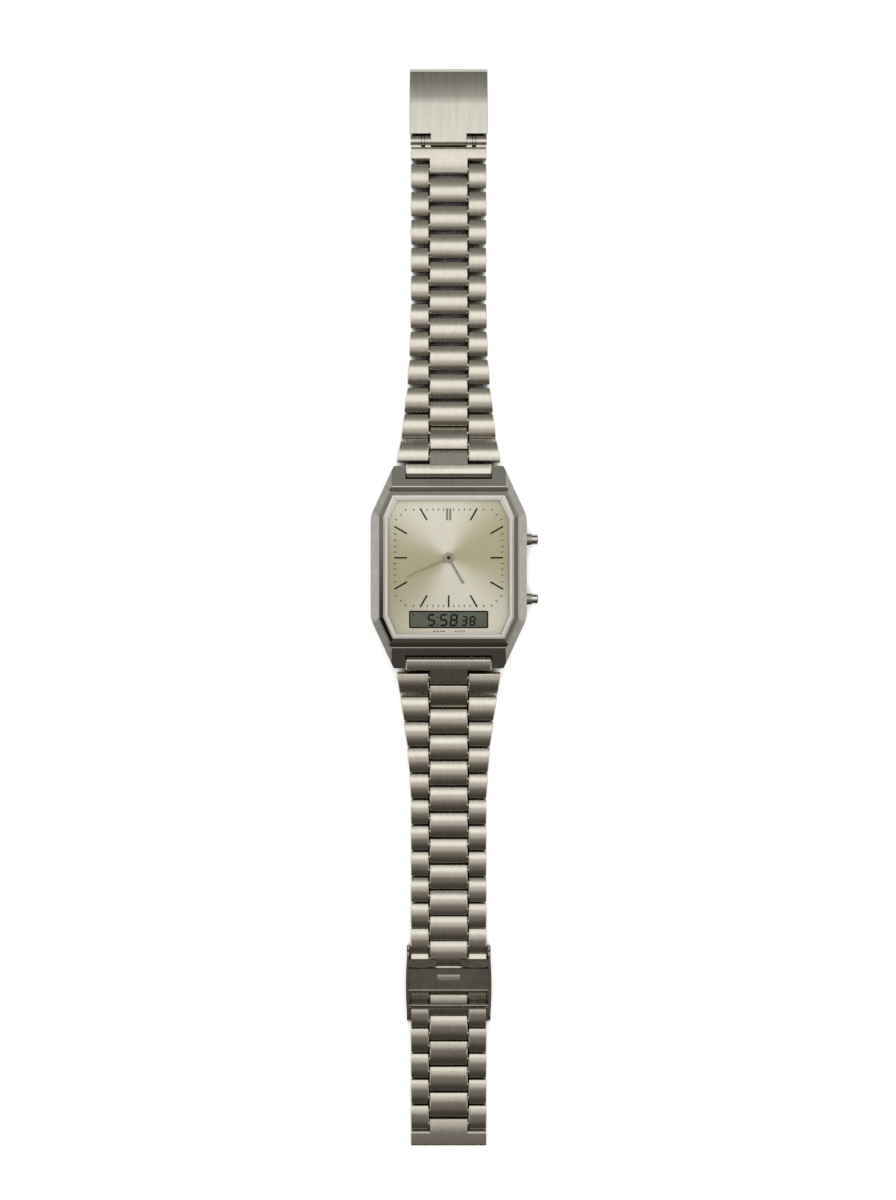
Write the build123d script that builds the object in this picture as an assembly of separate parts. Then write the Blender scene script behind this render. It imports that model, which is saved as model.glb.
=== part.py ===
# A wristwatch with hands and a digital display, laid open flat on its case back, dial up.
# Frame: origin at the centre of the case back's resting face, +Z out of the dial,
# +Y to 12 o'clock, +X to 3 o'clock. Millimetres.
import os
from math import asin, cos, degrees, pi, radians, sin

from build123d import *

os.makedirs("parts", exist_ok=True)

# One value that every cut runs past the face it opens, and the small gap between fixed pieces
overrun = 1.0
seat_gap = 0.05
running_gap = 0.05

# Case
case_length = 38.8
case_width = 29.8
case_tip_width_share = 0.7013
case_side_length_share = 0.5052
case_floor = 0.8
case_top = 6.3
case_corner_radius = 4.0
case_tip_radius = 0.6
case_shoulder_run = 1.3
case_shoulder_drop = 1.2
lug_foot_share = 0.3969
lug_tip_top = 4.7
lug_tip_bottom = 2.2
lug_under_foot_share = 0.3763
lug_under_radius = 1.2
lug_top_radius = 0.35
ledge_land = 0.15
ledge_depth = 0.3
ledge_width_share = 0.8
cavity_width_share = 0.7987
cavity_length_share = 0.6804
notch_width_share = 0.5537
notch_back_gap = 0.2

# Spring bars between the lugs
bar_inset = 1.0
bar_height = 4.2
bar_diameter = 1.3
bar_tip_diameter = 0.7
bar_tip_length = 1.2

# Slanted corners, as shares of the length and the width of a frame piece
corner_run_share = 0.07
corner_rise_share = 0.145

# Case back and its screws
back_width_share = 0.953
back_length_share = 0.7835
back_corner_run_share = 0.0827
back_corner_rise_share = 0.1579
screw_x_share = 0.396
screw_y_share = 0.3196
screw_head_diameter = 1.8
screw_head_height = 0.35
screw_diameter = 1.0
screw_length = 3.0
screw_recess = 0.4
screw_slot = 0.25
gasket_width = 0.35
gasket_height = 0.35
gasket_inset = 0.12

# Bezel and crystal
bezel_width_share = 0.906
bezel_length_share = 0.7552
bezel_corner_run_share = 0.0844
bezel_corner_rise_share = 0.168
bezel_top = 7.45
bezel_bevel_run = 0.3
bezel_bevel_rise = 0.25
bezel_slope_run = 0.75
bezel_slope_rise = 0.25
bezel_step = 0.3
bezel_rim_gap_across = 0.3
bezel_rim_gap_along = 0.25
opening_width_share = 0.7651
opening_length_share = 0.6572
crystal_seat_across = 0.7
crystal_seat_along = 0.55
crystal_floor = 6.9
crystal_top = 8.1
crystal_bevel = 0.4
crystal_gasket_height = 0.15
crystal_gasket_width = 0.5

# Dial, hour batons and display window
dial_top = 6.0
dial_thickness = 0.3
dial_margin = 0.5
hour_count = 12
hands_rise_share = 0.0698
dial_bore = 1.7
baton_width = 0.28
baton_height = 0.12
twelve_baton_width = 0.36
twelve_gap = 0.24
track_width_share = 0.908
track_length_share = 0.7373
track_inner_width_share = 0.6974
track_inner_length_share = 0.5608
window_drop_share = 0.391
window_width_share = 0.6623
window_height_share = 0.1314
window_radius = 0.3

# Hands
hub_diameter = 2.0
hour_hand_share = 0.5105
hour_hand_width = 0.42
hour_hand_angle = 150
minute_hand_share = 0.8068
minute_hand_width = 0.22
minute_hand_tip = 0.12
minute_hand_angle = 246
hand_thickness = 0.14
hour_hand_floor = 6.14
minute_hand_floor = 6.44
hand_cap_diameter = 0.7
hand_cap_height = 0.12

# Movement
plate_floor = 1.9
plate_web_floor = 3.1
plate_web_top = 3.4
module_gap = 0.2
stud_diameter = 0.3
stud_gap = 0.03
stud_top = 6.2
gear_thickness = 0.2
hand_train_module = 0.1
slow_train_module = 0.096
fast_train_module = 0.065
cannon_teeth = 12
minute_wheel_teeth = 36
minute_pinion_teeth = 10
hour_wheel_teeth = 40
centre_wheel_teeth = 63
intermediate_pinion_teeth = 7
intermediate_wheel_teeth = 60
rotor_teeth = 6
tooth_root_share = 2.5
tooth_crest_share = 2
tooth_foot_share = 0.3
tooth_tip_share = 0.12
minute_wheel_angle = -40
intermediate_angle = 60
rotor_angle = 60
intermediate_floor = 3.5
centre_wheel_floor = 3.85
minute_wheel_floor = 4.3
hour_wheel_floor = 4.95
cannon_tube_diameter = 0.7
hour_pipe_diameter = 1.3
pocket_margin = 0.3
rotor_magnet_diameter = 1.2
rotor_magnet_height = 0.6
stator_hole = 1.7
stator_length_share = 0.4034
stator_thickness = 0.5
stator_floor = 2.45
coil_length_share = 0.3109
coil_diameter = 2.2
coil_core = 0.8
coil_reach = 3.0
display_width_share = 0.7059
display_height_share = 0.2045
display_floor = 4.4
display_top = 5.6
connector_width = 0.7
connector_inset = 0.25
board_floor = 1.35
board_thickness = 0.4
cell_diameter_share = 0.2857
cell_height = 2.6
cell_floor = 1.0
cell_place_shares = (-0.2899, 0.25)
cell_rim = 0.35
buzzer_diameter_share = 0.4167
buzzer_thickness = 0.2
buzzer_disc_share = 0.7273
buzzer_drop_share = 0.1326

# Pushers
pusher_upper_share = 0.1366
pusher_lower_share = -0.1564
pusher_height = 3.4
pusher_travel = 0.7
collar_diameter = 3.35
collar_rim_diameter = 2.85
collar_length = 1.0
pusher_cap_diameter = 2.2
pusher_proud = 2.26
pusher_cap_length = 2.1
pusher_cap_round = 0.3
pusher_stem_diameter = 1.0
pusher_stem_inside = 1.0
pusher_recess = 0.9
clip_diameter = 1.7
clip_thickness = 0.2
clip_gap = 0.15
spring_wire = 0.18
spring_turns = 3
spring_diameter = 1.7

# Bracelet links: folded sleeves on round pins, side pairs staggered with centre sleeves
sleeve_length = 4.68
link_height = 2.2
link_crown_radius = 4.5
link_under_radius = 0.75
link_top_radius = 0.3
link_edge_bevel = 0.14
link_seam = 0.12
pin_diameter = 1.0
pin_inset = 0.3
centre_width = 7.2
row_gap = 0.22
band_width = 14.6
pitch_close = 4.98
pitch_drawn = 5.38
pitch_clamped = 4.77
links_12 = 10
links_12_close = 2
links_6 = 9
links_clamped = 5
links_6_far = 3
taper_widths_12 = (19.9, 18.3, 17.2, 16.0, 15.2, 14.8)
taper_widths_6 = (20.0, 18.7, 17.3, 16.0, 15.2)

# End pieces at the lugs
end_piece_side_gap = 0.1
end_piece_front = 1.3
end_piece_back = 0.3
end_piece_back_radius = 1.1
end_piece_reach = 3.0
end_piece_slope = 22
end_piece_crown_radius = 6
end_piece_crown_back = 1.0
end_piece_heel_round = 0.5
end_piece_step = 0.08
end_piece_round = 0.3

# Clasp: end link and cover of the 12 o'clock half
clasp_bar_length = 2.6
clasp_bar_gap = 0.6
clasp_pin_reach = 1.25
t_bar_crown_radius = 11
t_bar_round = 0.55
clasp_pin_diameter = 0.9
knuckle_radius = 1.07
knuckle_inner_end = 4.5
knuckle_outer_start = 5.25
ring_width = 0.45
cover_overhang = 0.2
cover_start = 1.3
cover_length = 12.1
cover_sheet = 0.45
cover_flat_share = 0.475
cover_far_height = -0.5
cover_skirt = -0.75
cover_lip = 0.5
cover_lip_thickness = 0.25
cover_tongue_width = 6.8
cover_edge_round = 0.15
hook_place = 2.9
hook_width = 5.2
hook_drop = 0.55
hook_foot = 1.1

# Clasp: sliding frame and lock plate of the 6 o'clock half, measured along the band
slider_offset = 7.2
slider_length = 14.3
slider_sheet = 0.45
slider_gap = 0.1
slider_side_gap = 0.3
slider_bulge = 0.6
slider_height = 3.85
ear_round = 1.6
tab_start = 2.2
tab_length = 1.5
tab_inner = 2.1
tab_slant = 0.5
cross_bar_diameter = 0.85
cross_bar_place = 11.1
cross_bar_height = 3.25
lock_pin_diameter = 0.6
lock_pin_place = 8.2
lock_pin_height = 3.3
lock_plate_length = 4.35
lock_plate_floor = 2.9
lock_notch_width = 4.4
lock_notch_length = 2.5
lock_step_length = 1.3
lock_step_sheet = 0.2
lock_knuckle_radius = 0.42

# Tail link
tail_bar_gap = 0.15
tail_bar_length = 2.95

# What follows from the sizes of the case: its lugs, cavity, back, bezel and crystal
lug_foot = case_length * lug_foot_share
lug_under_foot = case_length * lug_under_foot_share
cavity_width = case_width * cavity_width_share
cavity_length = case_length * cavity_length_share
notch_width = case_width * notch_width_share
bar_reach = case_length / 2 - bar_inset
notch_floor = bar_reach - end_piece_back - end_piece_back_radius - notch_back_gap
end_piece_width = notch_width - 2 * end_piece_side_gap
back_width = case_width * back_width_share
back_length = case_length * back_length_share
screw_x = case_width * screw_x_share
screw_y = case_length * screw_y_share
bezel_width = case_width * bezel_width_share
bezel_length = case_length * bezel_length_share
opening_width = case_width * opening_width_share
opening_length = case_length * opening_length_share
crystal_width = opening_width + 2 * crystal_seat_across
crystal_length = opening_length + 2 * crystal_seat_along
bezel_rim_width = crystal_width + 2 * bezel_rim_gap_across
bezel_rim_length = crystal_length + 2 * bezel_rim_gap_along

# What follows from the width of the band
cover_width = band_width + 2 * cover_overhang
slider_inner_width = band_width + 2 * slider_side_gap
slider_middle_width = slider_inner_width + 2 * slider_bulge

# What follows from the opening over the dial and from the cavity
hands_y = opening_length * hands_rise_share
track_width = opening_width * track_width_share
track_length = opening_length * track_length_share
track_inner_width = opening_width * track_inner_width_share
track_inner_length = opening_length * track_inner_length_share
window_y = -opening_length * window_drop_share
window_width = opening_width * window_width_share
window_height = opening_length * window_height_share
hand_room = min(opening_width / 2, opening_length / 2 - hands_y)
hour_hand_length = hand_room * hour_hand_share
minute_hand_length = hand_room * minute_hand_share
stator_length = cavity_width * stator_length_share
coil_length = cavity_width * coil_length_share
display_width = cavity_width * display_width_share
display_height = cavity_length * display_height_share
cell_diameter = cavity_width * cell_diameter_share
cell_x = cavity_width * cell_place_shares[0]
cell_y = cavity_length * cell_place_shares[1]
buzzer_diameter = cavity_length * buzzer_diameter_share
buzzer_disc_diameter = buzzer_diameter * buzzer_disc_share
buzzer_y = -cavity_length * buzzer_drop_share
pusher_upper_y = case_length * pusher_upper_share
pusher_lower_y = case_length * pusher_lower_share
pusher_reach = case_width / 2 + pusher_proud
pusher_stem_tip = cavity_width / 2 - pusher_stem_inside


def face_of(points):
    """A flat face inside a closed run of points."""
    return make_face(Polyline(points, close=True))


def slanted(width, length, run_share, rise_share):
    """A rectangle with four slanted corners."""
    x, y = width / 2, length / 2
    x_in, y_in = x - width * run_share, y - length * rise_share
    points = [(x, y_in), (x_in, y), (-x_in, y), (-x, y_in)]
    points += [(-px, -py) for px, py in points]
    return face_of(points)


def framed(width, length):
    """The slanted rectangle that the crystal, the dial and what lies under it share."""
    return slanted(width, length, corner_run_share, corner_rise_share)


def prism(face, floor, top):
    """A face in plan, raised from floor to top."""
    return Pos(0, 0, floor) * extrude(face, amount=top - floor)


def sloped(face, floor, top, run):
    """A face in plan, raised from floor to top with sides that lean in by a run."""
    upper = offset(face, -run, kind=Kind.INTERSECTION)
    return loft([Pos(0, 0, floor) * face, Pos(0, 0, top) * upper], ruled=True)


def across(face, low, high):
    """A face drawn in Y and Z, carried along X from low to high."""
    return Pos(low, 0, 0) * extrude(Plane.YZ * face, amount=high - low)


def rod_x(diameter, low, high, y, z):
    """A round rod along X."""
    rod = Cylinder(diameter / 2, high - low, rotation=(0, 90, 0))
    return Pos((low + high) / 2, y, z) * rod


def rod_z(diameter, floor, top, x=0, y=0):
    """A round rod along Z."""
    return Pos(x, y, (floor + top) / 2) * Cylinder(diameter / 2, top - floor)


def block(x0, x1, y0, y1, z0, z1):
    """A box between two corners."""
    middle = Pos((x0 + x1) / 2, (y0 + y1) / 2, (z0 + z1) / 2)
    return middle * Box(x1 - x0, y1 - y0, z1 - z0)


def write(name, *shapes):
    """Write one node, each of its pieces a solid of its own."""
    solids = [solid for shape in shapes for solid in shape.solids()]
    export_step(Compound(solids) if len(solids) > 1 else solids[0], f"parts/{name}.step")


def mirrored(shape):
    """The shape and its twin across the middle plane X = 0."""
    return [shape, mirror(shape, about=Plane.YZ)]


# Case middle

def case_outline(tips_rounded):
    """The case from above: straight sides that slant in to the lug tips."""
    run_share = (1 - case_tip_width_share) / 2
    rise_share = (1 - case_side_length_share) / 2
    outline = slanted(case_width, case_length, run_share, rise_share)
    sides = [v for v in outline.vertices() if abs(v.Y) < lug_foot]
    outline = fillet(sides, case_corner_radius)
    if not tips_rounded:
        return outline
    tips = [v for v in outline.vertices() if abs(v.Y) > bar_reach]
    return fillet(tips, case_tip_radius)


def shouldered(body, run, drop, reach):
    """Slope the top outer edges of a prism, but not those that lie beyond a reach along Y."""
    top = body.faces().sort_by(Axis.Z)[-1]
    edges = [edge for edge in top.outer_wire().edges() if abs(edge.center().Y) < reach]
    return chamfer(edges, run, length2=drop, reference=top)


def case_middle():
    body = prism(case_outline(False), case_floor, case_top)
    body = shouldered(body, case_shoulder_run, case_shoulder_drop, bar_reach)
    body &= prism(case_outline(True), case_floor, case_top)
    tip = case_length / 2
    right = [(lug_under_foot, case_floor), (tip, lug_tip_bottom)]
    right += [(tip, lug_tip_top), (lug_foot, case_top)]
    side = face_of(right + [(-y, z) for y, z in reversed(right)])
    under = [v for v in side.vertices() if abs(v.X) > bar_reach and v.Y < bar_height]
    side = fillet(under, lug_under_radius)
    over = [v for v in side.vertices() if abs(v.X) > bar_reach and v.Y > bar_height]
    side = fillet(over, lug_top_radius)
    body &= across(side, -case_width / 2 - overrun, case_width / 2 + overrun)
    ledge_half = case_width * ledge_width_share / 2
    ledge = face_of([(lug_foot - ledge_land, case_top), (bezel_length / 2, case_top),
                     (bezel_length / 2, case_top - ledge_depth)])
    for face in (ledge, mirror(ledge, about=Plane.YZ)):
        body -= across(face, -ledge_half, ledge_half)
    body -= prism(framed(cavity_width, cavity_length), case_floor - overrun, case_top + overrun)
    notch = notch_width / 2
    groove = framed(cavity_width + 2 * (gasket_inset + gasket_width),
                    cavity_length + 2 * (gasket_inset + gasket_width))
    groove -= framed(cavity_width + 2 * gasket_inset, cavity_length + 2 * gasket_inset)
    body -= prism(groove, case_floor - overrun, case_floor + gasket_height)
    tip_reach = notch + bar_tip_length + seat_gap
    for sign in (1, -1):
        ends = sorted((sign * notch_floor, sign * (case_length / 2 + overrun)))
        body -= block(-notch, notch, *ends, case_floor - overrun, case_top + overrun)
        hole = bar_tip_diameter + 2 * seat_gap
        body -= rod_x(hole, -tip_reach, tip_reach, sign * bar_reach, bar_height)
    for y in (pusher_upper_y, pusher_lower_y):
        wall = case_width / 2
        stem_hole = pusher_stem_diameter + 2 * running_gap
        body -= rod_x(stem_hole, 0, wall + overrun, y, pusher_height)
        cap_hole = pusher_cap_diameter + 2 * running_gap
        body -= rod_x(cap_hole, wall - pusher_recess, wall + overrun, y, pusher_height)
    for x in (screw_x, -screw_x):
        for y in (screw_y, -screw_y):
            body -= rod_z(screw_diameter, case_floor - overrun, screw_length + seat_gap, x, y)
    return body


write("case_middle", case_middle())


# Bezel, crystal and its gasket

def bezel():
    outline = slanted(bezel_width, bezel_length, bezel_corner_run_share, bezel_corner_rise_share)
    slope_floor = bezel_top - bezel_slope_rise
    bevel_floor = slope_floor - bezel_bevel_rise
    body = prism(outline, case_top, bevel_floor)
    body += sloped(outline, bevel_floor, slope_floor, bezel_bevel_run)
    inner_outline = offset(outline, -bezel_bevel_run, kind=Kind.INTERSECTION)
    body += sloped(inner_outline, slope_floor, bezel_top, bezel_slope_run)
    seat_width = crystal_width + 2 * seat_gap
    seat_length = crystal_length + 2 * seat_gap
    rim = prism(framed(bezel_rim_width, bezel_rim_length), bezel_top - bezel_step,
                bezel_top + overrun)
    seat = prism(framed(seat_width, seat_length), crystal_floor - crystal_gasket_height,
                 bezel_top + overrun)
    hole = prism(framed(opening_width, opening_length), case_top - overrun, bezel_top + overrun)
    return body - rim - seat - hole


write("bezel", bezel())

crystal = prism(framed(crystal_width, crystal_length), crystal_floor, crystal_top)
crystal = chamfer(crystal.faces().sort_by(Axis.Z)[-1].outer_wire().edges(), crystal_bevel)
write("crystal", crystal)

gasket_outer = framed(crystal_width, crystal_length)
gasket_inner = framed(crystal_width - 2 * crystal_gasket_width,
                      crystal_length - 2 * crystal_gasket_width)
write("crystal_gasket", prism(gasket_outer - gasket_inner,
                              crystal_floor - crystal_gasket_height, crystal_floor))


# Dial with its window, and the applied batons

dial_floor = dial_top - dial_thickness
window = Pos(0, window_y) * RectangleRounded(window_width, window_height, window_radius)
dial_face = framed(opening_width + dial_margin, opening_length + dial_margin)
dial_face -= window
dial_face -= Pos(0, hands_y) * Circle(dial_bore / 2)
write("dial", prism(dial_face, dial_floor, dial_top))


def track_reach(width, length, turn):
    """How far a ray from the hands' axis runs before it meets a rectangle round that axis."""
    sideways = width / 2 / max(abs(cos(turn)), seat_gap)
    upward = length / 2 / max(abs(sin(turn)), seat_gap)
    return min(sideways, upward)


def baton(hour, low, high):
    """An hour baton between the two rectangles that the hours stand in, from low to high."""
    degrees_round = 90 - 360 / hour_count * hour
    outer = track_reach(track_width, track_length, radians(degrees_round))
    inner = track_reach(track_inner_width, track_inner_length, radians(degrees_round))
    bar = block(inner, outer, low, high, dial_top, dial_top + baton_height)
    return Pos(0, hands_y, 0) * Rot(0, 0, degrees_round) * bar


batons = [baton(hour, -baton_width / 2, baton_width / 2) for hour in range(1, hour_count)]
twelve_start = twelve_gap / 2
twelve_end = twelve_start + twelve_baton_width
batons += [baton(0, twelve_start, twelve_end), baton(0, -twelve_end, -twelve_start)]
write("dial_markers", *batons)


# Hands

def hand(length, width, tip, floor, bore):
    """A hand that points to 12 o'clock, with a round hub and no tail."""
    blade = [(-width / 2, 0), (width / 2, 0), (tip / 2, length), (-tip / 2, length)]
    face = face_of(blade) + Circle(hub_diameter / 2)
    face -= Circle(bore / 2)
    return prism(face, floor, floor + hand_thickness)


def on_axis(shape, clock_angle=0):
    """Carry a shape to the axis of the hands, turned clockwise."""
    return Pos(0, hands_y, 0) * Rot(0, 0, -clock_angle) * shape


hour_hand = hand(hour_hand_length, hour_hand_width, hour_hand_width, hour_hand_floor,
                 hour_pipe_diameter)
write("hour_hand", on_axis(hour_hand, hour_hand_angle))

minute_hand = hand(minute_hand_length, minute_hand_width, minute_hand_tip, minute_hand_floor,
                   cannon_tube_diameter)
write("minute_hand", on_axis(minute_hand, minute_hand_angle))


# Wheels of the movement

def gear(teeth, module, floor, top, bore):
    """A wheel with straight-sided teeth, thin enough to leave play where two wheels mesh."""
    root = (teeth - tooth_root_share) * module / 2
    crest = (teeth + tooth_crest_share) * module / 2
    step = 2 * pi / teeth
    corners = [(root, -tooth_foot_share), (crest, -tooth_tip_share),
               (crest, tooth_tip_share), (root, tooth_foot_share)]
    points = []
    for n in range(teeth):
        for radius, turn in corners:
            angle = (n + turn) * step
            points.append((radius * cos(angle), radius * sin(angle)))
    return prism(face_of(points) - Circle(bore / 2), floor, top)


def beside(centre, distance, angle):
    """The place at a distance from a centre, at an angle from +X."""
    return (centre[0] + distance * cos(radians(angle)), centre[1] + distance * sin(radians(angle)))


hands_axis = (0, hands_y)
hand_train_distance = hand_train_module * (cannon_teeth + minute_wheel_teeth) / 2
minute_wheel_axis = beside(hands_axis, hand_train_distance, minute_wheel_angle)
intermediate_distance = fast_train_module * (centre_wheel_teeth + intermediate_pinion_teeth) / 2
intermediate_axis = beside(hands_axis, intermediate_distance, intermediate_angle)
rotor_distance = fast_train_module * (intermediate_wheel_teeth + rotor_teeth) / 2
rotor_axis = beside(intermediate_axis, rotor_distance, rotor_angle)
stud_bore = stud_diameter + 2 * stud_gap

hour_bore = cannon_tube_diameter + 2 * stud_gap
hour_wheel = gear(hour_wheel_teeth, slow_train_module, hour_wheel_floor,
                  hour_wheel_floor + gear_thickness, hour_bore)
hour_pipe = rod_z(hour_pipe_diameter, hour_wheel_floor, hour_hand_floor + hand_thickness)
hour_pipe -= rod_z(hour_bore, hour_wheel_floor - overrun, hour_hand_floor + overrun)
write("hour_wheel", on_axis(hour_wheel + hour_pipe))

cannon = gear(centre_wheel_teeth, fast_train_module, centre_wheel_floor,
              centre_wheel_floor + gear_thickness, stud_bore)
cannon += gear(cannon_teeth, hand_train_module, centre_wheel_floor,
               minute_wheel_floor + gear_thickness, stud_bore)
cannon_top = minute_hand_floor + hand_thickness
cannon_tube = rod_z(cannon_tube_diameter, centre_wheel_floor, cannon_top)
cannon += cannon_tube - rod_z(stud_bore, centre_wheel_floor - overrun, stud_top + stud_gap)
cannon += rod_z(hand_cap_diameter, cannon_top - hand_thickness, cannon_top + hand_cap_height)
write("cannon_pinion", on_axis(cannon))

minute_wheel = gear(minute_wheel_teeth, hand_train_module, minute_wheel_floor,
                    minute_wheel_floor + gear_thickness, stud_bore)
minute_wheel += gear(minute_pinion_teeth, slow_train_module, minute_wheel_floor,
                     hour_wheel_floor + gear_thickness, stud_bore)
write("minute_wheel", Pos(*minute_wheel_axis, 0) * minute_wheel)

intermediate = gear(intermediate_wheel_teeth, fast_train_module, intermediate_floor,
                    intermediate_floor + gear_thickness, stud_bore)
intermediate += gear(intermediate_pinion_teeth, fast_train_module, intermediate_floor,
                     centre_wheel_floor + gear_thickness, stud_bore)
write("intermediate_wheel", Pos(*intermediate_axis, 0) * intermediate)

magnet_floor = plate_web_floor - rotor_magnet_height - seat_gap
rotor = rod_z(rotor_magnet_diameter, magnet_floor, magnet_floor + rotor_magnet_height)
rotor += gear(rotor_teeth, fast_train_module, magnet_floor,
              intermediate_floor + gear_thickness, stud_diameter / 2)
write("rotor", Pos(*rotor_axis, 0) * rotor)


# Module plate with pockets for what it carries

def disc_of(axis, diameter, floor, top):
    return rod_z(diameter, floor, top, *axis)


def gear_span(teeth, module):
    """The width that a wheel's pocket needs."""
    return module * (teeth + 2) + 2 * pocket_margin


coil_y = rotor_axis[1] + coil_reach
display_gap = module_gap / 2


def module_plate():
    width = cavity_width - 2 * module_gap
    length = cavity_length - 2 * module_gap
    body = prism(framed(width, length), plate_floor, dial_floor)
    open_top = dial_floor + overrun
    body -= disc_of(hands_axis, gear_span(centre_wheel_teeth, fast_train_module),
                    plate_web_top, open_top)
    body -= disc_of(minute_wheel_axis, gear_span(minute_wheel_teeth, hand_train_module),
                    plate_web_top, open_top)
    body -= disc_of(intermediate_axis, gear_span(intermediate_wheel_teeth, fast_train_module),
                    plate_web_top, open_top)
    body -= disc_of(rotor_axis, stator_hole, plate_web_floor - overrun, open_top)
    for axis in (hands_axis, minute_wheel_axis, intermediate_axis):
        top = stud_top if axis is hands_axis else dial_floor
        body += disc_of(axis, stud_diameter, plate_web_top - seat_gap, top)
    half = display_width / 2 + display_gap
    reach = display_height / 2 + display_gap
    body -= block(-half, half, window_y - reach, window_y + reach, display_floor, open_top)
    for y in connector_places:
        body -= block(-half, half, y - connector_width / 2 - display_gap,
                      y + connector_width / 2 + display_gap, plate_floor - overrun,
                      display_floor + overrun)
    cell_top = cell_floor + cell_height + module_gap
    body -= rod_z(cell_diameter + 2 * module_gap, plate_floor - overrun, cell_top,
                  cell_x, cell_y)
    stator_half = stator_length / 2 + module_gap
    body -= block(rotor_axis[0] - stator_half, rotor_axis[0] + stator_half,
                  rotor_axis[1] - stator_hole - module_gap, coil_y + coil_diameter / 2 + module_gap,
                  plate_floor - overrun, plate_web_floor)
    coil_half = coil_diameter / 2 + module_gap
    body -= block(rotor_axis[0] - stator_half, rotor_axis[0] + stator_half,
                  coil_y - coil_half, coil_y + coil_half, plate_floor - overrun,
                  stator_floor + stator_thickness / 2 + coil_half)
    for y in (pusher_upper_y, pusher_lower_y):
        room = clip_diameter / 2 + module_gap
        inner = pusher_stem_tip - pusher_travel - module_gap
        body -= block(inner, cavity_width, y - room, y + room, pusher_height - room,
                      pusher_height + room)
    return body


connector_reach = display_height / 2 - connector_inset - connector_width / 2
connector_places = (window_y - connector_reach, window_y + connector_reach)
write("module_plate", module_plate())

display = block(-display_width / 2, display_width / 2, window_y - display_height / 2,
                window_y + display_height / 2, display_floor, display_top)
write("lcd_panel", display)

board_top = board_floor + board_thickness
connectors = [
    block(-display_width / 2, display_width / 2, y - connector_width / 2,
          y + connector_width / 2, board_top, display_floor)
    for y in connector_places
]
write("lcd_connectors", *connectors)

board = prism(framed(cavity_width - 2 * module_gap, cavity_length - 2 * module_gap),
              board_floor, board_top)
board -= rod_z(cell_diameter + 2 * module_gap, board_floor - overrun, board_top + overrun,
               cell_x, cell_y)
write("circuit_board", board)

cell = rod_z(cell_diameter, cell_floor, cell_floor + cell_height - cell_rim, cell_x, cell_y)
cell += rod_z(cell_diameter - 2 * cell_rim, cell_floor, cell_floor + cell_height,
              cell_x, cell_y)
write("button_cell", cell)

buzzer = rod_z(buzzer_diameter, case_floor, case_floor + buzzer_thickness, 0, buzzer_y)
buzzer += rod_z(buzzer_disc_diameter, case_floor, case_floor + 2 * buzzer_thickness,
                0, buzzer_y)
write("buzzer", buzzer)

# Step motor: a stator plate round the rotor, closed by the core of the coil

stator_x0 = rotor_axis[0] - stator_length / 2
stator_x1 = rotor_axis[0] + stator_length / 2
stator = block(stator_x0, stator_x1, rotor_axis[1] - stator_hole,
               coil_y + coil_core, stator_floor, stator_floor + stator_thickness)
stator -= disc_of(rotor_axis, stator_hole, stator_floor - overrun, stator_floor + overrun)
stator -= block(rotor_axis[0] - coil_length / 2 - seat_gap,
                rotor_axis[0] + coil_length / 2 + seat_gap, coil_y - coil_diameter / 2 - seat_gap,
                coil_y + coil_diameter, stator_floor - overrun, stator_floor + overrun)
write("motor_stator", stator)

coil_z = stator_floor + stator_thickness / 2
coil = rod_x(coil_diameter, rotor_axis[0] - coil_length / 2, rotor_axis[0] + coil_length / 2,
             coil_y, coil_z)
coil &= block(stator_x0, stator_x1, coil_y - coil_diameter, coil_y + coil_diameter,
              board_top, coil_z + coil_diameter)
write("motor_coil", coil)


# Case back, gasket and screws

back_outline = slanted(back_width, back_length, back_corner_run_share, back_corner_rise_share)
back_plate = prism(back_outline, 0, case_floor)
back_screws = []
for x in (screw_x, -screw_x):
    for y in (screw_y, -screw_y):
        head_hole = screw_head_diameter + 2 * seat_gap
        back_plate -= rod_z(head_hole, -overrun, screw_recess, x, y)
        back_plate -= rod_z(screw_diameter + 2 * seat_gap, -overrun, case_floor + overrun, x, y)
        head = rod_z(screw_head_diameter, screw_recess - screw_head_height, screw_recess, x, y)
        for turn in (0, 90):
            slot = Box(screw_head_diameter / 2, screw_slot, screw_head_height)
            head -= Pos(x, y, screw_recess - screw_head_height) * Rot(0, 0, turn) * slot
        back_screws.append(head + rod_z(screw_diameter, screw_recess, screw_length, x, y))
write("case_back", back_plate)
write("back_screws", *back_screws)

seal = framed(cavity_width + 2 * (gasket_inset + gasket_width),
              cavity_length + 2 * (gasket_inset + gasket_width))
seal -= framed(cavity_width + 2 * gasket_inset, cavity_length + 2 * gasket_inset)
write("back_gasket", prism(seal, case_floor, case_floor + gasket_height))


# Spring bars in the lugs

def spring_bar(y):
    body_end = notch_width / 2 - seat_gap
    tip_end = notch_width / 2 + bar_tip_length
    bar = rod_x(bar_diameter, -body_end, body_end, y, bar_height)
    return bar + rod_x(bar_tip_diameter, -tip_end, tip_end, y, bar_height)


write("spring_bars", spring_bar(bar_reach), spring_bar(-bar_reach))


# Pushers: collar, cap on a stem with its clip, return spring

def collar(y):
    cone = Cone(collar_diameter / 2, collar_rim_diameter / 2, collar_length,
                rotation=(0, 90, 0))
    body = Pos(case_width / 2 + collar_length / 2, y, pusher_height) * cone
    return body - rod_x(pusher_cap_diameter + 2 * running_gap, 0, pusher_reach, y, pusher_height)


def pusher(y):
    cap_start = pusher_reach - pusher_cap_length
    cap = rod_x(pusher_cap_diameter, cap_start, pusher_reach, y, pusher_height)
    outer_rim = cap.edges().filter_by(GeomType.CIRCLE).sort_by(Axis.X)[-1]
    cap = fillet(outer_rim, pusher_cap_round)
    stem = rod_x(pusher_stem_diameter, pusher_stem_tip, cap_start + seat_gap, y, pusher_height)
    clip_start = cavity_width / 2 - clip_gap - clip_thickness
    clip = rod_x(clip_diameter, clip_start, clip_start + clip_thickness, y, pusher_height)
    return cap + stem + clip


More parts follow.
